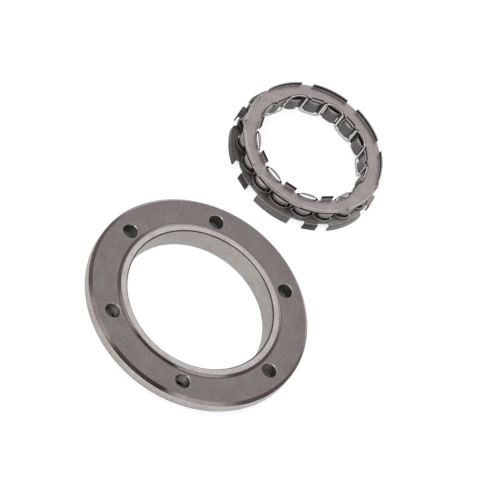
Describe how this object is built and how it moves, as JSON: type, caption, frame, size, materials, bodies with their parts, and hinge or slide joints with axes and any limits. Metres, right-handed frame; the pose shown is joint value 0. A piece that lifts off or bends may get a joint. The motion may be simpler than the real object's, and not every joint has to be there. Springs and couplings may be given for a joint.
{
  "type": "starter clutch",
  "caption": "Flanged outer race with a ring of bolt holes, and the sprag cage that runs in its bore, taken out and laid beside it.",
  "frame": {"origin": "centre of the outer race's bore at the flange's front face", "axes": "+Z along the clutch axis, out of the flange's front face; +Y from the outer race to the cage"},
  "size_m": [0.098, 0.1855, 0.0128],
  "materials": {
    "race_steel": "ground",
    "outer_cage_steel": "pressed",
    "inner_cage_steel": "pressed",
    "spring_steel": "bright",
    "sprag_steel": "ground"
  },
  "bodies": {
    "outer_race": {"outer_race": "race_steel"},
    "outer_cage": {"outer_cage": "outer_cage_steel"},
    "inner_cage": {"inner_cage": "inner_cage_steel", "ribbon_spring": "spring_steel"},
    "sprag_01": {"sprag_01": "sprag_steel"},
    "sprag_02": {"sprag_02": "sprag_steel"},
    "sprag_03": {"sprag_03": "sprag_steel"},
    "sprag_04": {"sprag_04": "sprag_steel"},
    "sprag_05": {"sprag_05": "sprag_steel"},
    "sprag_06": {"sprag_06": "sprag_steel"},
    "sprag_07": {"sprag_07": "sprag_steel"},
    "sprag_08": {"sprag_08": "sprag_steel"},
    "sprag_09": {"sprag_09": "sprag_steel"},
    "sprag_10": {"sprag_10": "sprag_steel"},
    "sprag_11": {"sprag_11": "sprag_steel"},
    "sprag_12": {"sprag_12": "sprag_steel"},
    "sprag_13": {"sprag_13": "sprag_steel"},
    "sprag_14": {"sprag_14": "sprag_steel"},
    "sprag_15": {"sprag_15": "sprag_steel"},
    "sprag_16": {"sprag_16": "sprag_steel"},
    "sprag_17": {"sprag_17": "sprag_steel"},
    "sprag_18": {"sprag_18": "sprag_steel"}
  },
  "joints": [
    {"name": "cage_lift", "type": "slide", "parent": "outer_race", "child": "outer_cage", "axis": [0, 0, 1], "range_m": [0, 0.03]},
    {"name": "cage_phasing", "type": "hinge", "parent": "outer_cage", "child": "inner_cage", "pos_m": [0, 0.102, 0], "axis": [0, 0, 1], "range_deg": [0, 1]},
    {"name": "sprag_01_tilt", "type": "hinge", "parent": "outer_cage", "child": "sprag_01", "pos_m": [-0.00222, 0.13223, -0.005], "axis": [0, 0, -1], "range_deg": [0, 8]},
    {"name": "sprag_02_tilt", "type": "hinge", "parent": "outer_cage", "child": "sprag_02", "pos_m": [-0.01242, 0.12965, -0.005], "axis": [0, 0, -1], "range_deg": [0, 8]},
    {"name": "sprag_03_tilt", "type": "hinge", "parent": "outer_cage", "child": "sprag_03", "pos_m": [-0.02113, 0.12373, -0.005], "axis": [0, 0, -1], "range_deg": [0, 8]},
    {"name": "sprag_04_tilt", "type": "hinge", "parent": "outer_cage", "child": "sprag_04", "pos_m": [-0.02729, 0.11519, -0.005], "axis": [0, 0, -1], "range_deg": [0, 8]},
    {"name": "sprag_05_tilt", "type": "hinge", "parent": "outer_cage", "child": "sprag_05", "pos_m": [-0.03015, 0.10506, -0.005], "axis": [0, 0, -1], "range_deg": [0, 8]},
    {"name": "sprag_06_tilt", "type": "hinge", "parent": "outer_cage", "child": "sprag_06", "pos_m": [-0.02938, 0.09456, -0.005], "axis": [0, 0, -1], "range_deg": [0, 8]},
    {"name": "sprag_07_tilt", "type": "hinge", "parent": "outer_cage", "child": "sprag_07", "pos_m": [-0.02507, 0.08496, -0.005], "axis": [0, 0, -1], "range_deg": [0, 8]},
    {"name": "sprag_08_tilt", "type": "hinge", "parent": "outer_cage", "child": "sprag_08", "pos_m": [-0.01773, 0.07742, -0.005], "axis": [0, 0, -1], "range_deg": [0, 8]},
    {"name": "sprag_09_tilt", "type": "hinge", "parent": "outer_cage", "child": "sprag_09", "pos_m": [-0.00825, 0.07284, -0.005], "axis": [0, 0, -1], "range_deg": [0, 8]},
    {"name": "sprag_10_tilt", "type": "hinge", "parent": "outer_cage", "child": "sprag_10", "pos_m": [0.00222, 0.07177, -0.005], "axis": [0, 0, -1], "range_deg": [0, 8]},
    {"name": "sprag_11_tilt", "type": "hinge", "parent": "outer_cage", "child": "sprag_11", "pos_m": [0.01242, 0.07435, -0.005], "axis": [0, 0, -1], "range_deg": [0, 8]},
    {"name": "sprag_12_tilt", "type": "hinge", "parent": "outer_cage", "child": "sprag_12", "pos_m": [0.02113, 0.08027, -0.005], "axis": [0, 0, -1], "range_deg": [0, 8]},
    {"name": "sprag_13_tilt", "type": "hinge", "parent": "outer_cage", "child": "sprag_13", "pos_m": [0.02729, 0.08881, -0.005], "axis": [0, 0, -1], "range_deg": [0, 8]},
    {"name": "sprag_14_tilt", "type": "hinge", "parent": "outer_cage", "child": "sprag_14", "pos_m": [0.03015, 0.09894, -0.005], "axis": [0, 0, -1], "range_deg": [0, 8]},
    {"name": "sprag_15_tilt", "type": "hinge", "parent": "outer_cage", "child": "sprag_15", "pos_m": [0.02938, 0.10944, -0.005], "axis": [0, 0, -1], "range_deg": [0, 8]},
    {"name": "sprag_16_tilt", "type": "hinge", "parent": "outer_cage", "child": "sprag_16", "pos_m": [0.02507, 0.11904, -0.005], "axis": [0, 0, -1], "range_deg": [0, 8]},
    {"name": "sprag_17_tilt", "type": "hinge", "parent": "outer_cage", "child": "sprag_17", "pos_m": [0.01773, 0.12658, -0.005], "axis": [0, 0, -1], "range_deg": [0, 8]},
    {"name": "sprag_18_tilt", "type": "hinge", "parent": "outer_cage", "child": "sprag_18", "pos_m": [0.00825, 0.13116, -0.005], "axis": [0, 0, -1], "range_deg": [0, 8]}
  ],
  "couplings": [
    {"joint": "sprag_02_tilt", "follows": "sprag_01_tilt", "ratio": 1},
    {"joint": "sprag_03_tilt", "follows": "sprag_01_tilt", "ratio": 1},
    {"joint": "sprag_04_tilt", "follows": "sprag_01_tilt", "ratio": 1},
    {"joint": "sprag_05_tilt", "follows": "sprag_01_tilt", "ratio": 1},
    {"joint": "sprag_06_tilt", "follows": "sprag_01_tilt", "ratio": 1},
    {"joint": "sprag_07_tilt", "follows": "sprag_01_tilt", "ratio": 1},
    {"joint": "sprag_08_tilt", "follows": "sprag_01_tilt", "ratio": 1},
    {"joint": "sprag_09_tilt", "follows": "sprag_01_tilt", "ratio": 1},
    {"joint": "sprag_10_tilt", "follows": "sprag_01_tilt", "ratio": 1},
    {"joint": "sprag_11_tilt", "follows": "sprag_01_tilt", "ratio": 1},
    {"joint": "sprag_12_tilt", "follows": "sprag_01_tilt", "ratio": 1},
    {"joint": "sprag_13_tilt", "follows": "sprag_01_tilt", "ratio": 1},
    {"joint": "sprag_14_tilt", "follows": "sprag_01_tilt", "ratio": 1},
    {"joint": "sprag_15_tilt", "follows": "sprag_01_tilt", "ratio": 1},
    {"joint": "sprag_16_tilt", "follows": "sprag_01_tilt", "ratio": 1},
    {"joint": "sprag_17_tilt", "follows": "sprag_01_tilt", "ratio": 1},
    {"joint": "sprag_18_tilt", "follows": "sprag_01_tilt", "ratio": 1},
    {"joint": "cage_phasing", "follows": "sprag_01_tilt", "ratio": 0.116}
  ]
}
